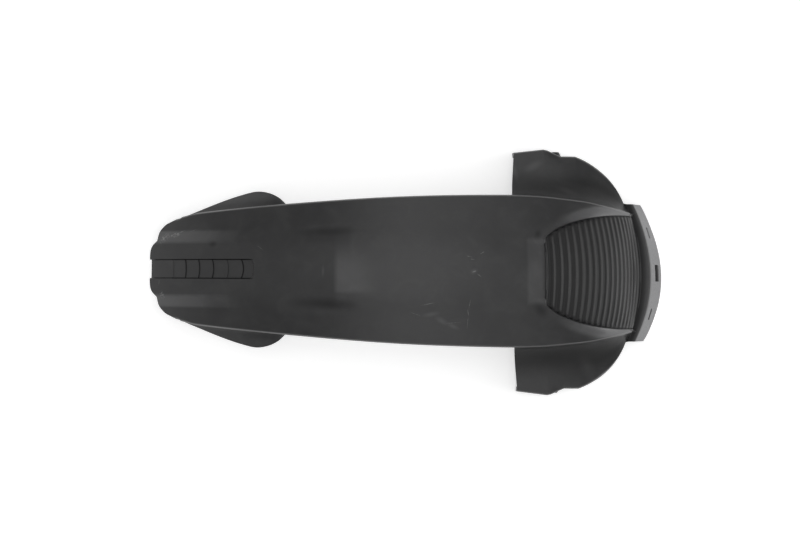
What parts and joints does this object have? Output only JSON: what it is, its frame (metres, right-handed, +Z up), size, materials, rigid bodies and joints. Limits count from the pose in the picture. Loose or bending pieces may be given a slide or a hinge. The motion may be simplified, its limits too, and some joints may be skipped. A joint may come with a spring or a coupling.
{
  "type": "electric scooter rear mudguard",
  "caption": "Long low rear mudguard in black plastic with a ribbed foot-brake tread, side wings, tail channel and slotted front flange.",
  "frame": {"origin": "on the floor, in the middle of the length and width", "axes": "+X forward to the deck, +Y to the left, +Z up"},
  "size_m": [0.3214, 0.1552, 0.072],
  "materials": {
    "black_plastic": "fine moulded texture, lightly scuffed",
    "shoe_steel": "rolled plate, worn on the tyre side",
    "screw_steel": "zinc plated"
  },
  "bodies": {
    "root": {"mudguard": "black_plastic", "brake_shoe": "shoe_steel", "shoe_screw_1": "screw_steel", "shoe_screw_2": "screw_steel", "shoe_screw_3": "screw_steel", "shoe_screw_4": "screw_steel"}
  },
  "joints": []
}
